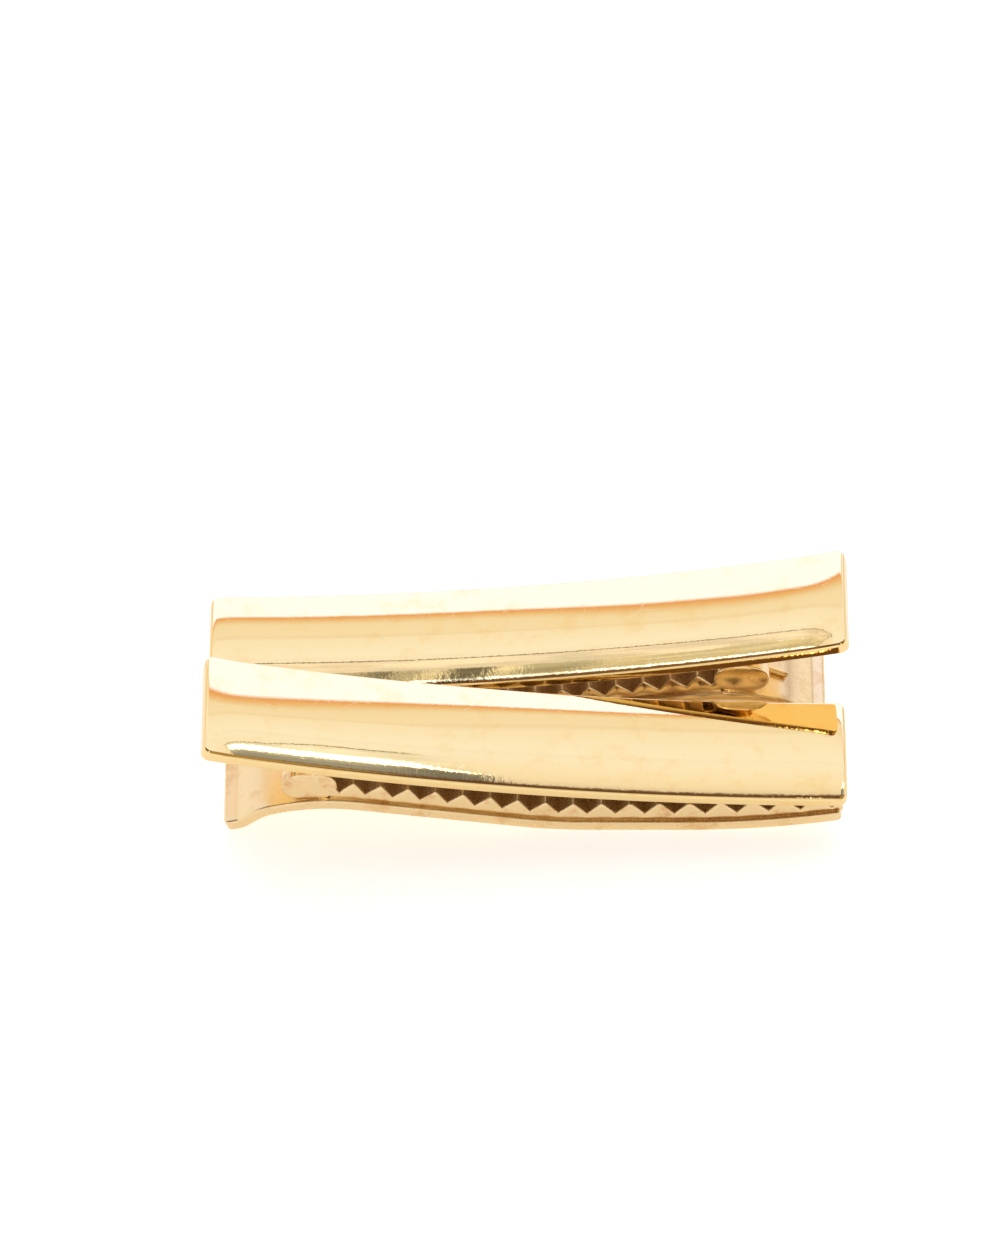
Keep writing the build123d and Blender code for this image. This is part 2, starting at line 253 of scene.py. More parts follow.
# Wear on plated metal: hairlines in several directions, pin-prick dots and faint smears.
hairline_kinds = [(0.15, 9.0), (1.05, 11.0), (1.75, 10.0), (2.5, 12.0), (1.4, 13.0)]  # turn, fineness
hairline_stretch = 0.45
hairline_shift = (7.3, 3.1)  # moves each direction's noise away from the last one's
line_limits, region_limits = (0.78, 0.84), (0.55, 0.63)  # of the noise, where lines begin and are full
dot_limits, lot_limits = (0.09, 0.04), (0.80, 0.82)  # how small the dots are and how few cells have one
smear_limits = (0.50, 0.68)
dot_height, line_haze, smear_haze, smear_stain = 2.5, 0.6, 0.5, 0.7
wear_inputs = {"Hairlines": 1.0, "Dots": 1.0, "Smears": 1.0}
wear, given, result = start_group("handling_wear", wear_inputs, ["Height", "Haze", "Stain"])
lines = None
for number, (turn, fineness) in enumerate(hairline_kinds):
    links = {0: given["Place"], "Angle": turn}
    turned = add_node(wear, "ShaderNodeVectorRotate", links, rotation_type="Z_AXIS")
    links = {0: turned.outputs[0], 1: (hairline_stretch, fineness, 1.0)}
    stretched = add_node(wear, "ShaderNodeVectorMath", links, operation="MULTIPLY")
    links = {0: stretched.outputs[0], 1: (hairline_shift[0] * number, hairline_shift[1] * number, 0)}
    moved = add_node(wear, "ShaderNodeVectorMath", links, operation="ADD")
    links = {"Vector": moved.outputs[0], "Scale": 1.0, "Detail": 0.0}
    noise = add_node(wear, "ShaderNodeTexNoise", links).outputs["Fac"]
    region = between(wear, fleck_noise(wear, moved.outputs[0], scale=0.13, detail=0.0), *region_limits)
    line = calculate(wear, "MULTIPLY", between(wear, noise, *line_limits), region)
    lines = line if lines is None else calculate(wear, "MAXIMUM", lines, line)
lines = calculate(wear, "MULTIPLY", lines, given["Hairlines"])
cells = add_node(wear, "ShaderNodeTexVoronoi", {"Vector": given["Place"], "Scale": 0.75})
drawn_lot = add_node(wear, "ShaderNodeSeparateColor", {0: cells.outputs["Color"]}).outputs[0]
chosen = between(wear, drawn_lot, *lot_limits)
dots = calculate(wear, "MULTIPLY", between(wear, cells.outputs["Distance"], *dot_limits), chosen)
dots = calculate(wear, "MULTIPLY", dots, given["Dots"])
smears = fleck_noise(wear, given["Place"], scale=0.3, detail=5.0, roughness=0.65)
smears = between(wear, smears, *smear_limits)
smears = calculate(wear, "MULTIPLY", smears, given["Smears"])
height = calculate(wear, "ADD", lines, calculate(wear, "MULTIPLY", dots, dot_height))
wear.links.new(height, result["Height"])
hazy_lines = calculate(wear, "MULTIPLY", lines, line_haze)
haze = calculate(wear, "ADD", hazy_lines, calculate(wear, "MULTIPLY", smears, smear_haze))
wear.links.new(haze, result["Haze"])
stain = calculate(wear, "ADD", dots, calculate(wear, "MULTIPLY", smears, smear_stain))
wear.links.new(stain, result["Stain"])


def millimetres(tree):
    """Object coordinates in millimetres."""
    links = {0: tree.nodes.new("ShaderNodeTexCoord").outputs["Object"], 1: (1000.0,) * 3}
    return add_node(tree, "ShaderNodeVectorMath", links, operation="MULTIPLY").outputs[0]


scratch_depth = 1.2e-6  # metres


def plated_finish(name, colour, stain_colour, roughness, haze, wear_values, ripple):
    """Gold plate over brass: a metal whose colour dulls where it is stained, whose gloss drops where it
    is hazed by handling, and whose normal follows hairlines, dots and the polisher's ripple."""
    material = bpy.data.materials.new(name)
    material.use_nodes = True
    tree = material.node_tree
    shader = tree.nodes["Principled BSDF"]
    shader.inputs["Metallic"].default_value = 1.0
    place = millimetres(tree)
    marks = add_node(tree, "ShaderNodeGroup", node_tree=wear)
    tree.links.new(place, marks.inputs["Place"])
    for label, value in wear_values.items():
        marks.inputs[label].default_value = value
    links = {0: marks.outputs["Stain"], 6: colour, 7: stain_colour}
    tint = add_node(tree, "ShaderNodeMix", links, data_type="RGBA")
    tree.links.new(tint.outputs[2], shader.inputs["Base Color"])
    gloss = between(tree, marks.outputs["Haze"], 0.0, 1.0, roughness, haze)
    tree.links.new(gloss, shader.inputs["Roughness"])
    waves = fleck_noise(tree, place, scale=0.9, detail=3.0, roughness=0.55)
    rippled = add_node(tree, "ShaderNodeBump", {"Height": waves, "Distance": ripple, "Strength": 1.0})
    links = {"Height": marks.outputs["Height"], "Distance": scratch_depth, "Normal": rippled.outputs[0]}
    scratched = add_node(tree, "ShaderNodeBump", links, invert=True)
    tree.links.new(scratched.outputs[0], shader.inputs["Normal"])
    return material


def roughen_masked(material, roughness, grain, colour, deep_colour):
    """Where the mesh's mask is one, the surface is rough, dull and grainy, and its colour goes over to the
    given ones: as cast in the jaw's notches, and on the strip a painted shade along the solder joint.
    """
    tree = material.node_tree
    shader = tree.nodes["Principled BSDF"]
    mask = add_node(tree, "ShaderNodeAttribute", attribute_name="mask").outputs["Fac"]
    gloss = shader.inputs["Roughness"].links[0].from_socket
    mixed = add_node(tree, "ShaderNodeMix", {0: mask, 2: gloss, 3: roughness}, data_type="FLOAT")
    tree.links.new(mixed.outputs[0], shader.inputs["Roughness"])
    grains = fleck_noise(tree, millimetres(tree), scale=7.0, detail=3.0, roughness=0.6)
    smooth = shader.inputs["Normal"].links[0].from_socket
    links = {"Height": calculate(tree, "MULTIPLY", grains, mask), "Distance": grain, "Normal": smooth}
    tree.links.new(add_node(tree, "ShaderNodeBump", links).outputs[0], shader.inputs["Normal"])
    plated = shader.inputs["Base Color"].links[0].from_socket
    depth = between(tree, grains, 0.58, 0.42)
    cast = add_node(tree, "ShaderNodeMix", {0: depth, 6: colour, 7: deep_colour}, data_type="RGBA")
    tint = add_node(tree, "ShaderNodeMix", {0: mask, 6: plated, 7: cast.outputs[2]}, data_type="RGBA")
    tree.links.new(tint.outputs[2], shader.inputs["Base Color"])


def dress(piece, material):
    """The piece's one material."""
    piece.data.materials.clear()
    piece.data.materials.append(material)


strip_finish = plated_finish(
    "tumbled_gold_plate_and_seam_shade",
    (0.93, 0.73, 0.41, 1),
    (0.80, 0.52, 0.22, 1),
    roughness=0.27,
    haze=0.42,
    wear_values={"Hairlines": 0.8, "Dots": 0.7, "Smears": 1.0},
    ripple=2.5e-6,
)
strip_length = strip_lengths[-1] - strip_tip_worn
along = stations(strip_length, strip_tip_round, steps=9, middle_step=0.3)
drawn = circle_inset(np.minimum(along, strip_length - along), strip_end)
strip_low = np.maximum(drawn, circle_inset(strip_length - along, strip_tip_round))
strip_high = strip_thickness - drawn
strip_half = strip_width / 2 - drawn * strip_end_draw - circle_inset(along, lip_corner) * lip_corner_depth
strip_arris = np.minimum(strip_edge, (strip_high - strip_low) * edge_share)
strip_across, strip_height = rounded_sections(strip_half, strip_low, strip_high, strip_arris)
strip_grid = over_strip(along[:, None], strip_height, strip_across)
# A mask over the strip's top along the jaw's foot: rough solder, and painted shade in the joint between jaw
# and strip.
solder_and_shade = (strip_height > strip_thickness - solder_shade_skin) * (np.abs(strip_across) > solder_shade_across)
solder_and_shade = solder_and_shade * (along[:, None] > solder_shade_start)
solder_shade_growth = np.clip((along[:, None] - solder_shade_fades) / (solder_shade_full - solder_shade_fades), 0, 1)
solder_and_shade = solder_and_shade * (solder_shade_least + (1 - solder_shade_least) * solder_shade_growth)
# Where the mask is one the strip is rough solder. These darker colours there are painted shade in the joint
# between jaw and strip, weaker towards the thumb end.
masked_look = {"colour": (0.66, 0.42, 0.17, 1), "deep_colour": (0.34, 0.18, 0.06, 1)}
roughen_masked(strip_finish, roughness=0.42, grain=5e-5, **masked_look)
for clip in clips:
    strip = mesh_piece(f"{clip}_clip_bottom_strip", clip, closed(strip_grid), end_masks(solder_and_shade, 0.0))
    dress(strip, strip_finish)
    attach(strip, f"{clip}_base")
    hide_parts(f"{clip}_clip_bottom_plate")


# ---- Top plates --------------------------------------------------------------------------
# A brass bar bent to one long curve, a little domed, with its margins rolled over by the buffing
# wheel; gold plated and mirror polished, and soldered to the hinge bracket.
plate_width = 13.2
plate_thickness = 1.5
plate_corner = 1.0
plate_edge = 0.36
plate_under_edge = 0.12
tip_gap = 1.45
hinge_room = 3.37
pin_x = -24.0
pin_z = 7.568
dome_radius = 120.0
dome_rise = 0.24  # the middle stands this much over a flat bar of the same side height
margin_tilt = math.radians(10)
margin_reach = 1.6
tip_reach = 0.7  # how far the rolled margin reaches in from the tip
margin_runout = 2.2  # how far from the thumb end the side margins run out
margin_fade = 1.2  # how far the buffed ripple reaches in from the sides
buffed_depth = 8e-6  # metres
underside_at_tip = over_strip(strip_lengths[-1], strip_thickness)[2] + tip_gap
bend_run = clip_length / 2 - pin_x
bend_rise = pin_z + hinge_room - underside_at_tip
bend_radius = (bend_run**2 + bend_rise**2) / (2 * bend_rise)


def under_plate(x):
    """Height of a top plate's underside: a circle of the bend radius, level at the tip."""
    return underside_at_tip + bend_radius - np.sqrt(bend_radius**2 - (clip_length / 2 - x) ** 2)


def over_plate(along, depth, across):
    """Points at shares of the plate's length from its thumb end and depths over its underside: polar
    points about the bend's centre."""
    lean = math.asin(clip_length / (bend_radius - plate_thickness)) * (1 - along)
    reach = bend_radius - depth
    x = clip_length / 2 - reach * np.sin(lean)
    z = underside_at_tip + bend_radius - reach * np.cos(lean)
    return np.stack(np.broadcast_arrays(x, across, z), axis=-1)


def face_drop(across, half, from_thumb, from_tip):
    """How far the polished face lies under its middle line: the square of the distance across over
    twice the dome's radius, plus margins whose tilt dies away exponentially from the sides and the
    tip. Towards the thumb end the side margins run out by a bell curve of the distance left."""
    sides = np.exp(-(half - np.abs(across)) / margin_reach) - np.exp(-half / margin_reach)
    sides = sides * (1 - np.exp(-((from_thumb / margin_runout) ** 2)))
    tip = np.exp(-from_tip / tip_reach)
    return across**2 / (2 * dome_radius) + margin_tilt * (margin_reach * sides + tip_reach * tip)


def plate_sections(half, from_thumb, from_tip, upper_inset, under_inset):
    """Across and height of a top plate's sections: the domed face, an edge that turns on from the
    face's own slope to upright in a quarter ellipse, a small round arris below and a flat underside."""
    columns = [v[:, None] for v in (half, from_thumb, from_tip, upper_inset, under_inset)]
    half, from_thumb, from_tip, upper_inset, under_inset = columns
    face = np.sin(np.linspace(-math.pi / 2, math.pi / 2, 81)) * (half - plate_edge)
    face_height = plate_thickness + dome_rise - face_drop(face, half, from_thumb, from_tip) - upper_inset
    running = 1 - np.exp(-((from_thumb / margin_runout) ** 2))
    slope = (half - plate_edge) / dome_radius + margin_tilt * math.exp(-plate_edge / margin_reach) * running
    turn = slope + (math.pi / 2 - slope) * np.linspace(0, 1, 10)[1:]
    reach = plate_edge / (1 - np.sin(slope))
    edge_out = reach * (np.sin(turn) - np.sin(slope))
    edge_down = reach * (np.cos(slope) - np.cos(turn))
    quarter = np.linspace(0, math.pi / 2, 6)
    under_out = half - plate_under_edge * (1 - np.cos(quarter))
    under_height = under_inset + plate_under_edge * (1 - np.sin(quarter))
    flat = np.linspace(1, -1, 18)[1:-1] * (half - plate_under_edge)
    right = half - plate_edge + edge_out
    right_height = face_height[:, -1:] - edge_down
    across = np.hstack([face, right, under_out, flat, -under_out[:, ::-1], -right[:, ::-1]])
    level = under_inset + 0 * flat
    side_height = np.hstack([right_height, under_height])
    height = np.hstack([face_height, side_height, level, side_height[:, ::-1]])
    return across, height


mirror_finish = plated_finish(
    "mirror_gold_plate",
    (0.95, 0.735, 0.35, 1),
    (0.93, 0.64, 0.24, 1),
    roughness=0.012,
    haze=0.09,
    wear_values={"Hairlines": 0.4, "Dots": 0.8, "Smears": 0.7},
    ripple=0.5e-6,
)
tree = mirror_finish.node_tree
margin = add_node(tree, "ShaderNodeAttribute", attribute_name="mask").outputs["Fac"]
waves = fleck_noise(tree, millimetres(tree), scale=1.8, detail=3.0, roughness=0.55)
waves = calculate(tree, "MULTIPLY", waves, margin)
smooth = tree.nodes["Principled BSDF"].inputs["Normal"].links[0].from_socket
buffed = add_node(tree, "ShaderNodeBump", {"Height": waves, "Distance": buffed_depth, "Normal": smooth})
tree.links.new(buffed.outputs[0], tree.nodes["Principled BSDF"].inputs["Normal"])
along = stations(clip_length, plate_corner, steps=14, middle_step=0.4)
from_end = np.minimum(along, clip_length - along)
half = plate_width / 2 - circle_inset(from_end, plate_corner)
upper_inset = circle_inset(from_end, plate_edge)
under_inset = circle_inset(from_end, plate_under_edge)
plate_across, plate_height = plate_sections(half, along, clip_length - along, upper_inset, under_inset)
plate_grid = over_plate(along[:, None] / clip_length, plate_height, plate_across)
plate_margin = np.exp(-(half[:, None] - np.abs(plate_across)) / margin_fade)
for clip in clips:
    bar = mesh_piece(f"{clip}_clip_top_bar", clip, closed(plate_grid), end_masks(plate_margin, 1.0))
    dress(bar, mirror_finish)
    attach(bar, f"{clip}_top")
    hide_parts(f"{clip}_clip_top_plate")


# ---- Toothed jaws ------------------------------------------------------------------------
# A brass casting soldered on the bottom plate: a bar with notches across it, ground off under the
# top plate, and two round-ended lugs that hold the hinge pin. Flats polished, notches as cast.
jaw_width = 11.9
jaw_height = 2.8
jaw_tip_drop = 0.6
jaw_edge = 0.2
jaw_tip_x = 34.45
jaw_sunk = 0.2  # how far the bar's grid starts below the strip's upper face
jaw_level = 3.0  # the height at which places along the bar are read
closed_gap = 0.05
notch_pitch = 3.03
wide_notch_pitch = 3.40  # towards the tip
notch_depth = 1.78
notch_lean = math.radians(40)
first_notch_x = -20.32
notch_count = 18
widening_start, widening_steps = 8, 5  # the notches over which the pitch grows
slope_rows = 12  # grid rows from a notch's root to the next crest
root_round, crest_round = 0.05, 0.06
cast_gain, cast_start = 8, 0.2  # the notches count as cast from a small depth on
cast_margin = 0.19
lug_x = -23.7
lug_length = 6.15
lug_height = 4.55
lug_thickness = 1.6
lug_rim = 0.22
lug_pillow = 0.04  # how far a lug's face stands out in the middle
lug_points, face_rings = 96, 12
slot_end_x = -21.375
crest_tip = strip_lengths[-1]
crest_bend = np.interp(belly_front_x, strip_places[:, 0], strip_lengths)


def crest_height(along):
    """The jaw's height over the strip's lower face before it is notched: even, then falling evenly
    from the belly's end to the tip."""
    fall = np.clip((along - crest_bend) / (crest_tip - crest_bend), 0, 1)
    return strip_thickness + jaw_height - jaw_tip_drop * fall


line_along = np.linspace(0, crest_tip, 4000)
crest_line = over_strip(line_along, crest_height(line_along))
crest_run = np.concatenate([[0], np.cumsum(np.linalg.norm(np.diff(crest_line, axis=0), axis=1))])
first_notch = np.interp(first_notch_x, crest_line[:, 0], crest_run)
wider = np.clip((np.arange(notch_count - 1) - widening_start) / widening_steps, 0, 1)
notch_steps = notch_pitch + (wide_notch_pitch - notch_pitch) * wider
notch_runs = first_notch + np.concatenate([[0], np.cumsum(notch_steps)])


def notched_height(run, along):
    """The crest's height less a V at every notch: its depth falls off with the distance from the
    notch's middle over the tangent of the flank's lean. Root and crest are rounded a little by
    taking the root of the squares."""
    away = np.abs(run[:, None] - notch_runs).min(axis=1)
    away = np.sqrt(away**2 + root_round**2) - root_round
    depth = notch_depth - away / math.tan(notch_lean)
    depth = (depth + np.sqrt(depth**2 + crest_round**2)) / 2
    return crest_height(along) - depth, depth / notch_depth


def trimmed(along, height):
    """Heights brought down where they would come nearer to the top plate's underside than the
    closed gap: three steps of taking off the excess."""
    for _ in range(3):
        point = over_strip(along, height)
        excess = point[..., 2] - (under_plate(point[..., 0]) - closed_gap)
        height = height - np.clip(excess, 0, None)
    return height


level_x = over_strip(line_along, jaw_level)[:, 0]
slot_end = np.interp(slot_end_x, level_x, line_along)
bar_tip = np.interp(jaw_tip_x, level_x, line_along)
middles = (notch_runs[1:] + notch_runs[:-1]) / 2
roots_and_crests = np.stack([notch_runs[:-1], middles], 1).ravel()
roots_and_crests = np.concatenate([notch_runs[:1] - notch_pitch / 2, roots_and_crests, notch_runs[-1:]])
roots_and_crests = np.append(roots_and_crests, roots_and_crests[-1] + wide_notch_pitch / 2)
steps = len(roots_and_crests) - 1
bar_runs = np.interp(np.linspace(0, steps, slope_rows * steps + 1), np.arange(steps + 1), roots_and_crests)
bar_along = np.interp(bar_runs, crest_run, line_along)
bar_along = bar_along[(bar_along > slot_end + 0.05) & (bar_along < bar_tip - 0.05)]
bar_along = np.concatenate([[slot_end], bar_along, np.linspace(bar_along[-1] + 0.3, bar_tip, 4)])
bar_top, bar_notch = notched_height(np.interp(bar_along, line_along, crest_run), bar_along)
bar_top = trimmed(bar_along, bar_top)
bar_half = np.full_like(bar_along, jaw_width / 2)
bar_low = strip_thickness - jaw_sunk
bar_across, bar_height = rounded_sections(bar_half, bar_low, bar_top, jaw_edge, flat_steps=24)
bar_grid = over_strip(bar_along[:, None], bar_height, bar_across)
bar_mask = np.clip(bar_notch[:, None] * cast_gain - cast_start, 0, 1)
bar_mask = bar_mask * (np.abs(bar_across) < jaw_width / 2 - cast_margin)
bar_mask *= bar_height > strip_thickness


def lug_grid(near, far):
    """A round-ended block between two distances across: the pill outline is two half circles joined
    by straights, and it is drawn in at both faces by a quarter circle of the rim's radius."""
    turn = np.linspace(0, 2 * math.pi, lug_points + 1)[:-1]
    straight = (lug_length - lug_height) / 2
    quarter = np.linspace(0, math.pi / 2, 7)
    low, high = min(near, far), max(near, far)
    inset = np.concatenate([lug_rim * (1 - np.sin(quarter)), lug_rim * (1 - np.cos(quarter))])
    across = np.concatenate([low + lug_rim * (1 - np.cos(quarter)), high - lug_rim * (1 - np.sin(quarter))])
    radius = lug_height / 2 - inset[:, None]
    x = lug_x + np.sign(np.cos(turn)) * straight + radius * np.cos(turn)
    z = pin_z + radius * np.sin(turn)
    return np.stack(np.broadcast_arrays(x, across[:, None], z), axis=-1)


def pill_face(ring, outwards):
    """A lug's face: its outline drawn in to the lug's middle, standing out by the pillow times one
    less the fourth power of the share of the way left to the middle."""
    share = np.linspace(0, 1, face_rings)[:, None, None]
    middle = [lug_x, ring[0, 1], pin_z]
    face = ring[None] * (1 - share) + np.array(middle) * share
    face[..., 1] += outwards * lug_pillow * (1 - (1 - share[..., 0]) ** 4)
    return face


jaw_finish = plated_finish(
    "cast_and_polished_gold",
    (0.93, 0.72, 0.40, 1),
    (0.66, 0.38, 0.14, 1),
    roughness=0.20,
    haze=0.38,
    wear_values={"Hairlines": 0.7, "Dots": 1.0, "Smears": 1.0},
    ripple=2.0e-6,
)
masked_look = {"colour": (0.95, 0.74, 0.42, 1), "deep_colour": (0.62, 0.40, 0.17, 1)}
roughen_masked(jaw_finish, roughness=0.45, grain=6e-5, **masked_look)
for clip in clips:
    sheets = closed(bar_grid)
    masks = end_masks(bar_mask, 0.0)
    for flank in (1, -1):
        lug = lug_grid(flank * (jaw_width / 2 - lug_thickness), flank * jaw_width / 2)
        sheets += [lug, pill_face(lug[0], -1), pill_face(lug[-1], 1)]
        masks += [np.zeros(sheet.shape[:2]) for sheet in sheets[-3:]]
    jaw = mesh_piece(f"{clip}_clip_jaw_casting", clip, sheets, masks)
    dress(jaw, jaw_finish)
    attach(jaw, f"{clip}_base")
    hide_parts(f"{clip}_clip_toothed_jaw")


# ---- Hinge brackets and pins -------------------------------------------------------------
# A stamped bracket soldered under each top plate, with an ear inside each lug, and a plain steel
# pin through ears and lugs. Neither is drawn again here; they only get their finish.
bracket_finish = plated_finish(
    "bracket_gold_plate",
    (0.92, 0.70, 0.37, 1),
    (0.62, 0.36, 0.13, 1),
    roughness=0.15,
    haze=0.4,
    wear_values={"Hairlines": 1.0, "Dots": 1.0, "Smears": 1.0},
    ripple=2.0e-6,
)
pin_finish = plated_finish(
    "pin_steel",
    (0.62, 0.58, 0.52, 1),
    (0.35, 0.28, 0.20, 1),
    roughness=0.2,
    haze=0.4,
    wear_values={"Hairlines": 1.0, "Dots": 1.0, "Smears": 1.0},
    ripple=1.0e-6,
)
for clip in clips:
    dress(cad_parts[f"{clip}_clip_hinge_bracket"], bracket_finish)
    dress(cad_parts[f"{clip}_clip_hinge_pin"], pin_finish)


# ---- Torsion springs ---------------------------------------------------------------------
# Hard wire coiled three turns and a part round the hinge pin. One leg bears on the arch of the
# bottom plate and the other under the top plate, where its end is hooked outwards.
wire = 0.73
pin_radius = 0.75
coil_play = 0.2
coil_radius = pin_radius + coil_play + wire / 2
coil_turns = 3.5  # less what the two legs' slopes take off
between_ears = 6.1
coil_side_gap = 0.5
leg_clearance = 0.13
leg_seat = wire / 2 + leg_clearance
lower_reach, lower_length = 2.9, 5.6
upper_reach = 5.0
hook_radius, hook_length = 0.9, 1.2
cut_end_share = 0.8
blend_half = 1.2  # half the width of the coil; only an unused end point is worked out from it


def spring_line():
    """The wire's middle line: a helix whose angle runs down from square over the upper leg and whose
    place across grows with it, with a straight leg along its tangent at each end, the upper one
    turned outwards through a quarter circle."""
    heights = over_strip(line_along, strip_thickness)
    lower_z = np.interp(pin_x - lower_reach, heights[:, 0], heights[:, 2]) + leg_seat
    upper_z = under_plate(pin_x - upper_reach) - leg_seat
    fall = math.atan2(pin_z - coil_radius - lower_z, lower_reach)
    climb = math.atan2(upper_z - pin_z - coil_radius, upper_reach)
    whole = 2 * math.pi * coil_turns - climb - fall
    rise = (between_ears - 2 * coil_side_gap - wire) / whole
    turned = np.linspace(0, whole, 180)
    angle = math.pi / 2 - climb - turned
    beside_pin = coil_radius * np.cos(angle)
    above_pin = coil_radius * np.sin(angle)
    coil = np.stack([pin_x + beside_pin, rise * (turned - whole / 2), pin_z + above_pin], 1)
    heading = np.stack([above_pin, np.full_like(angle, rise), -beside_pin], 1)
    heading /= np.linalg.norm(heading, axis=1)[:, None]
    first, last = heading[0], heading[-1]
    outward = np.array([0, -1, 0]) + first * first[1]
    outward /= np.linalg.norm(outward)
    upper_end = coil[0] - first * (upper_reach - hook_radius)
    quarter = np.linspace(math.pi / 2, 0, 9)[:, None]
    bend = upper_end - hook_radius * (first * np.sin(quarter) - outward * (1 - np.cos(quarter)))
    hook_end = bend[:1] + outward * hook_length
    upper = np.linspace(upper_end, coil[0], 14)[1:-1]
    lower = np.linspace(coil[-1], coil[-1] + last * lower_length, 16)[1:]
    return np.vstack([hook_end, bend, upper, coil, lower])


def tube(line, radius, around=18):
    """A round wire along a line: at every point a circle of the radius in the plane square to the
    line's heading, started from the heading's cross product with one fixed direction."""
    heading = np.gradient(line, axis=0)
    heading /= np.linalg.norm(heading, axis=1)[:, None]
    side = np.cross(heading, [0.37, 0.81, 0.45])
    side /= np.linalg.norm(side, axis=1)[:, None]
    over = np.cross(heading, side)
    turn = np.linspace(0, 2 * math.pi, around + 1)[:-1]
    circle = np.cos(turn)[None, :, None] * side[:, None] + np.sin(turn)[None, :, None] * over[:, None]
    return line[:, None] + radius * circle


wire_line = spring_line()
wire_radius = np.full(len(wire_line), wire / 2)
wire_radius[[0, -1]] *= cut_end_share
spring_finish = plated_finish(
    "spring_wire",
    (0.86, 0.63, 0.30, 1),
    (0.45, 0.28, 0.12, 1),
    roughness=0.16,
    haze=0.35,
    wear_values={"Hairlines": 0.5, "Dots": 0.5, "Smears": 1.0},
    ripple=1.0e-6,
)
wire_grid = tube(wire_line, wire_radius[:, None, None])
for clip in clips:
    spring = mesh_piece(f"{clip}_clip_spring_wire", clip, closed(wire_grid))
    dress(spring, spring_finish)
    side, shift = clips[clip]
    end = (side * pin_x / 1000, (shift + side * blend_half) / 1000, pin_z / 1000)
    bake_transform(spring)
    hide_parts(f"{clip}_clip_spring")


# ---- Table, light tent and camera --------------------------------------------------------
# A white table under a light tent bent round the x axis and seen only in the metal. Its colours go
# by the angle up from the back horizon and the place sideways. Left and right are as the bent
# plates mirror them, so left is towards +X.
table_half = 3
table_glow = 0.62
mirrored_share = 0.78  # how much of the glow the metal mirrors
corners = [(-table_half, -table_half, 0), (table_half, -table_half, 0)]
corners += [(table_half, table_half, 0), (-table_half, table_half, 0)]
table_mesh = bpy.data.meshes.new("table_top")
table_mesh.from_pydata(corners, [], [(0, 1, 2, 3)])
table = bpy.data.objects.new("table_top", table_mesh)
bpy.context.scene.collection.objects.link(table)
paper = bpy.data.materials.new("white_paper")
paper.use_nodes = True
tree = paper.node_tree
paper_shader = tree.nodes["Principled BSDF"]
paper_shader.inputs["Base Color"].default_value = (0.90, 0.88, 0.84, 1)
paper_shader.inputs["Roughness"].default_value = 1.0
paper_shader.inputs["Specular IOR Level"].default_value = 0.0
paper_shader.inputs["Emission Color"].default_value = (1, 1, 1, 1)
ray = tree.nodes.new("ShaderNodeLightPath").outputs
mirrored = calculate(tree, "MULTIPLY", ray["Is Glossy Ray"], mirrored_share)
seen = calculate(tree, "MAXIMUM", ray["Is Camera Ray"], mirrored)
tree.links.new(calculate(tree, "MULTIPLY", seen, table_glow), paper_shader.inputs["Emission Strength"])
dress(table, paper)

tent_radius = 1.6
tent_half = 2.5
tent_low, tent_high = -5.0, 185.0  # degrees round from the back horizon
tent_rows, tent_columns = 96, 21
tent_strength = 4.0
# Each stop is an angle with the levels of red, green and blue there: a bright panel at the back, a
# white roof, a dark opening round the camera, and two grey cards in the roof.
roof_start = [(-5.0, 1.3, 1.4, 2.4), (45.05, 1.3, 1.4, 2.4), (45.2, 0.88, 0.58, 0.50)]
roof_start += [(45.5, 0.86, 0.48, 0.28), (46.15, 0.86, 0.46, 0.17), (46.4, 1.12, 1.2, 1.3)]
roof_start += [(46.65, 1.12, 1.2, 1.3), (46.95, 0.93, 0.83, 0.78), (47.4, 0.98, 0.95, 1.0)]
roof_start += [(50.4, 1.0, 0.98, 1.08), (50.6, 0.93, 0.90, 0.95), (50.9, 1.02, 1.02, 1.17)]
roof_start += [(55.0, 1.04, 1.09, 1.36)]
plain_roof = [(57.0, 1.05, 1.11, 1.40), (57.2, 1.0, 1.02, 1.25), (57.5, 1.05, 1.10, 1.40)]
plain_roof += [(64.0, 1.03, 1.03, 1.16), (70.0, 0.98, 0.95, 1.03), (73.8, 0.85, 0.80, 0.86)]
opening = [(75.5, 0.16, 0.09, 0.06), (136.0, 0.16, 0.09, 0.06)]
opening += [(146.0, 0.80, 0.72, 0.60), (185.0, 0.95, 0.95, 0.95)]
left_card = [(58.8, 1.04, 1.08, 1.29), (63.0, 1.04, 1.08, 1.29), (66.8, 0.74, 0.74, 0.80)]
left_card += [(68.0, 0.30, 0.32, 0.38), (73.8, 0.20, 0.21, 0.26)]
right_card = [(58.6, 1.04, 1.02, 1.20), (62.7, 0.96, 0.95, 1.10), (62.9, 0.45, 0.44, 0.44)]
right_card += [(63.1, 0.56, 0.55, 0.54), (69.6, 0.52, 0.50, 0.47), (70.9, 0.46, 0.42, 0.36)]
right_card += [(71.3, 1.3, 1.5, 2.1), (73.0, 1.3, 1.5, 2.1), (73.6, 0.20, 0.13, 0.11)]
turn = np.radians(np.linspace(tent_low, tent_high, tent_rows))[:, None]
width = np.linspace(-tent_half, tent_half, tent_columns)[None]
tent_grid = np.broadcast_arrays(width, tent_radius * np.cos(turn), tent_radius * np.sin(turn))
tent_grid = np.stack(tent_grid, -1)
index = np.arange(tent_rows * tent_columns).reshape(tent_rows, tent_columns)
corners = np.stack([index[:-1, :-1], index[1:, :-1], index[1:, 1:], index[:-1, 1:]], -1).reshape(-1, 4)
tent_mesh = bpy.data.meshes.new("light_tent")
tent_mesh.from_pydata(tent_grid.reshape(-1, 3).tolist(), [], corners.tolist())
tent = bpy.data.objects.new("light_tent", tent_mesh)
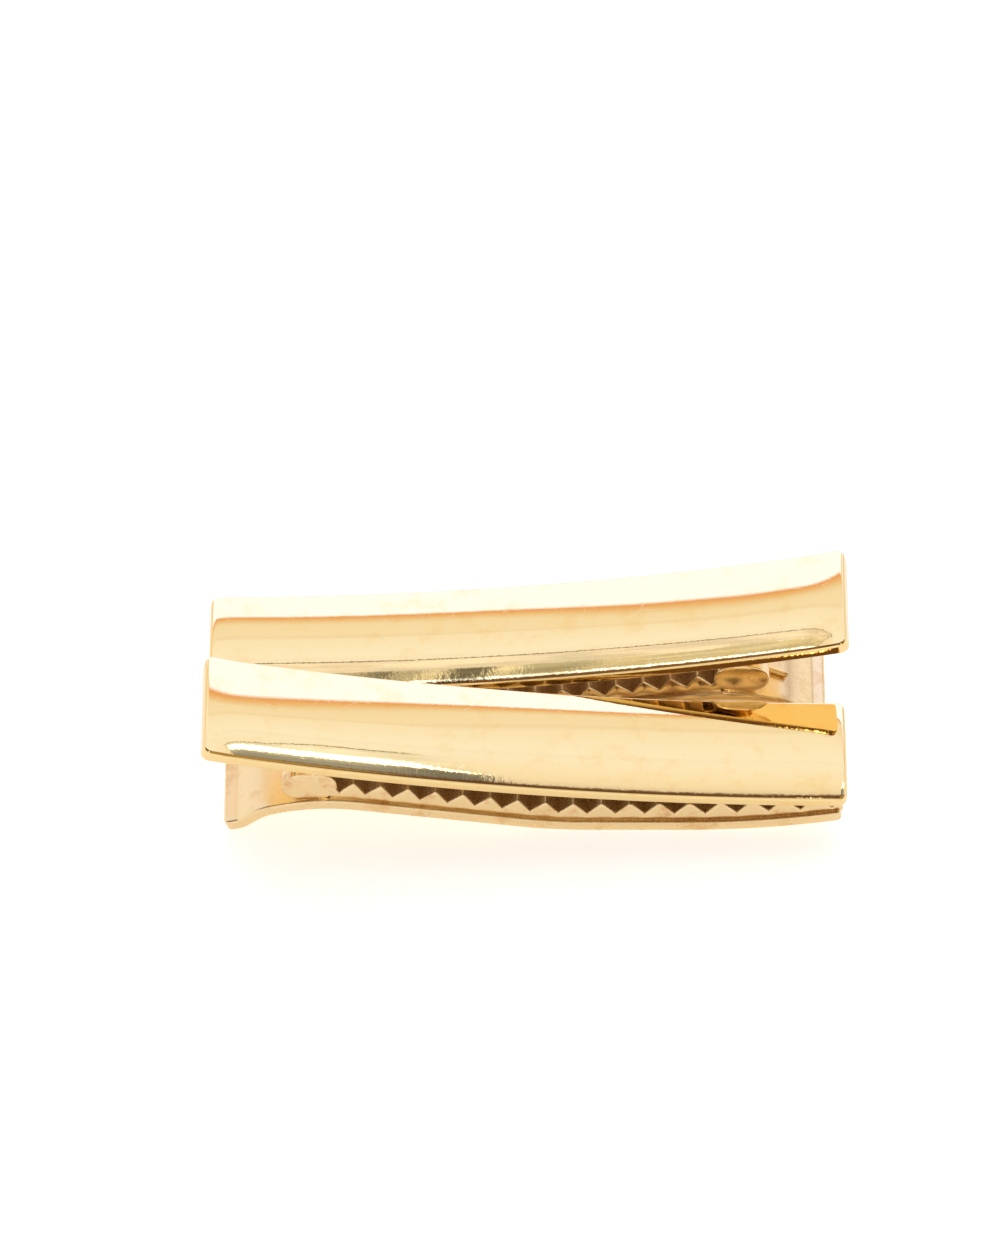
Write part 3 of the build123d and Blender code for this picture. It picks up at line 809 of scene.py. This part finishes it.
bpy.context.scene.collection.objects.link(tent)
tent.visible_camera = False
tent_cloth = bpy.data.materials.new("tent_cloth")
tent_cloth.use_nodes = True
tree = tent_cloth.node_tree
tree.nodes.clear()
tent_place = tree.nodes.new("ShaderNodeTexCoord").outputs["Object"]
place = add_node(tree, "ShaderNodeSeparateXYZ", {0: tent_place})
round_angle = calculate(tree, "ARCTAN2", place.outputs["Z"], place.outputs["Y"])
sideways = calculate(tree, "DIVIDE", place.outputs["X"], tent_radius)
degrees = calculate(tree, "DEGREES", round_angle)
bow = 0.0
for begin, end, lift in [(0.16, 0.33, 4.1), (0.02, -0.09, 1.9), (-0.16, -0.24, 1.0), (-0.27, -0.33, -1.4)]:
    bow = calculate(tree, "ADD", bow, between(tree, sideways, begin, end, 0.0, lift))
bow = calculate(tree, "MULTIPLY", bow, between(tree, degrees, 57.0, 50.0))
bowed = calculate(tree, "SUBTRACT", degrees, bow)


def roof_colours(angle, stops):
    """The tent's colour by an angle round it: a ramp over the whole tent through the stops."""
    share = between(tree, angle, tent_low, tent_high)
    share.node.interpolation_type = "LINEAR"
    ramp = add_node(tree, "ShaderNodeValToRGB", {0: share})
    for number, (stop_angle, *colour) in enumerate(stops):
        position = (stop_angle - tent_low) / (tent_high - tent_low)
        if number < 2:
            stop = ramp.color_ramp.elements[number]
            stop.position = position
        else:
            stop = ramp.color_ramp.elements.new(position)
        stop.color = (*(part / tent_strength for part in colour), 1)
    return ramp.outputs[0]


def blended(share, first, second):
    """Two colours mixed by a share."""
    links = {0: share, 6: first, 7: second}
    return add_node(tree, "ShaderNodeMix", links, data_type="RGBA").outputs[2]


def all_of(*shares):
    """Shares multiplied together."""
    product = shares[0]
    for share in shares[1:]:
        product = calculate(tree, "MULTIPLY", product, share)
    return product


def patch(across, around):
    """One inside a soft-edged patch of the tent. Each edge is a pair of limits, sideways or in degrees,
    over which the share grows from none to one."""
    edges = [between(tree, sideways, *edge) for edge in across]
    edges += [between(tree, degrees, *edge) for edge in around]
    return all_of(*edges)


card_corner = 1.2
card_soft = 0.2
degrees_aside = 57.3  # degrees to one radius sideways
rim_colour = (0.08, 0.07, 0.06, 1)


def card_distance(angle, middle, half_width, low):
    """Degrees outside a roof card with round corners: the length of how far the point lies beyond the
    card's inner rectangle in both directions, less the corner's radius."""
    aside = calculate(tree, "ABSOLUTE", calculate(tree, "SUBTRACT", sideways, middle))
    aside = calculate(tree, "MULTIPLY", calculate(tree, "SUBTRACT", aside, half_width), degrees_aside)
    aside = calculate(tree, "MAXIMUM", calculate(tree, "ADD", aside, card_corner), 0.0)
    along = calculate(tree, "MAXIMUM", calculate(tree, "SUBTRACT", low + card_corner, angle), 0.0)
    squares = calculate(tree, "MULTIPLY", aside, aside)
    squares = calculate(tree, "ADD", squares, calculate(tree, "MULTIPLY", along, along))
    return calculate(tree, "SUBTRACT", calculate(tree, "SQRT", squares), card_corner)


def card_rim(distance):
    """One on a thin line along a card's edge."""
    return all_of(between(tree, distance, -0.35, -0.15), between(tree, distance, 0.15, -0.05))


def mottled(colour, more):
    """A colour multiplied by a factor and made uneven, by up to a fifth, with soft noise."""
    noise = fleck_noise(tree, tent_place, scale=18.0, detail=3.0)
    uneven = between(tree, noise, 0.3, 0.7, 0.82, 1.12)
    links = {0: colour, "Scale": calculate(tree, "MULTIPLY", uneven, more)}
    return add_node(tree, "ShaderNodeVectorMath", links, operation="SCALE").outputs[0]


tent_colour = roof_colours(bowed, roof_start + plain_roof + opening)

# The left card rises towards its outer end, and a small lamp shows through it.
lifted = calculate(tree, "SUBTRACT", degrees, between(tree, sideways, 0.30, 0.35, 0.0, 2.4))
distance = card_distance(lifted, 0.33, 0.10, 59.5)
begins = between(tree, degrees, 66.0, 69.0, 0.228, 0.205)
begun = between(tree, calculate(tree, "SUBTRACT", sideways, begins), 0.0, 0.04)
inside = all_of(between(tree, distance, 0.0, -card_soft), begun)
lighter = between(tree, sideways, 0.25, 0.30, 0.9, 1.6)
lighter = blended(between(tree, degrees, 66.0, 67.5), (1.0, 1.0, 1.0, 1), lighter)
card_colour = mottled(roof_colours(degrees, roof_start[:1] + left_card + opening), lighter)
tent_colour = blended(inside, tent_colour, card_colour)
rim = all_of(card_rim(distance), between(tree, sideways, 0.25, 0.27))
tent_colour = blended(rim, tent_colour, rim_colour)
lamp_low = calculate(tree, "SUBTRACT", degrees, between(tree, sideways, 0.275, 0.237, 63.3, 67.2))
lamp_high = calculate(tree, "SUBTRACT", degrees, between(tree, sideways, 0.262, 0.24, 66.8, 68.2))
lamp = all_of(
    between(tree, lamp_low, -0.35, 0.35),
    between(tree, lamp_high, 0.35, -0.35),
    between(tree, sideways, 0.230, 0.240),
    between(tree, distance, -0.3, -0.6),
)
tent_colour = blended(lamp, tent_colour, (0.8, 0.8, 0.9, 1))

# The right card is uneven sideways, and brighter towards its outer end.
distance = card_distance(degrees, -0.2475, 0.1825, 58.2)
inside = between(tree, distance, 0.0, -card_soft)
links = {"W": sideways, "Scale": 48.0, "Detail": 0.0}
columns = add_node(tree, "ShaderNodeTexNoise", links, noise_dimensions="1D").outputs["Fac"]
striped = patch([(-0.205, -0.195), (-0.12, -0.14)], [(62.5, 63.5)])
stripes = calculate(tree, "MULTIPLY", striped, between(tree, columns, 0.44, 0.56, -0.6, 0.9))
brighter = calculate(tree, "ADD", stripes, between(tree, sideways, -0.225, -0.245, 1.0, 1.5))
brighter = blended(between(tree, degrees, 62.6, 62.9), (1.0, 1.0, 1.0, 1), brighter)
card_colour = mottled(roof_colours(degrees, roof_start[:1] + right_card + opening), brighter)
tent_colour = blended(inside, tent_colour, card_colour)
tent_colour = blended(card_rim(distance), tent_colour, rim_colour)

# In the opening there is warm cloth to the left and a small lamp near the middle. Far to both sides
# the back and roof are darker. A brown cloth hangs on the right, and a dark band far to the left.
warm_left = patch([(0.27, 0.33)], [(76.0, 80.0), (165.0, 160.0)])
tent_colour = blended(warm_left, tent_colour, (0.11, 0.075, 0.03, 1))
spot = patch([(-0.04, -0.02), (0.08, 0.06)], [(121.0, 123.0), (135.0, 133.0)])
tent_colour = blended(spot, tent_colour, (1.5, 1.45, 1.4, 1))
far_beside = between(tree, calculate(tree, "ABSOLUTE", sideways), 0.50, 0.65)
tent_colour = blended(all_of(far_beside, patch([], [(60.0, 50.0)])), tent_colour, (0.25, 0.24, 0.26, 1))
brown_right = patch([(-0.45, -0.60), (-0.95, -0.85)], [(55.0, 48.0)])
tent_colour = blended(brown_right, tent_colour, (0.24, 0.19, 0.13, 1))
dark_left = patch([(0.84, 0.90), (1.1, 1.0)], [])
tent_colour = blended(dark_left, tent_colour, (0.10, 0.07, 0.06, 1))
glow = add_node(tree, "ShaderNodeEmission", {"Color": tent_colour, "Strength": tent_strength})
add_node(tree, "ShaderNodeOutputMaterial", {"Surface": glow.outputs[0]})
dress(tent, tent_cloth)

world = bpy.data.worlds.new("white_room")
bpy.context.scene.world = world
world.use_nodes = True
world.node_tree.nodes["Background"].inputs["Color"].default_value = (1, 1, 1, 1)
world.node_tree.nodes["Background"].inputs["Strength"].default_value = 1.0

camera_data = bpy.data.cameras.new("camera")
camera_data.lens = 232.0
camera_data.sensor_width = 36.0
camera_data.clip_start = 0.05
camera = bpy.data.objects.new("camera", camera_data)
camera_height = math.radians(53)
camera_away = 0.9
aim_x, aim_y = -0.0029, 0.0146
camera_back = camera_away * math.cos(camera_height)
camera.location = (aim_x, aim_y - camera_back, camera_away * math.sin(camera_height))
camera.rotation_euler = (math.pi / 2 - camera_height, 0, 0)
bpy.context.scene.collection.objects.link(camera)
bpy.context.scene.camera = camera
bpy.context.scene.view_settings.view_transform = "Standard"
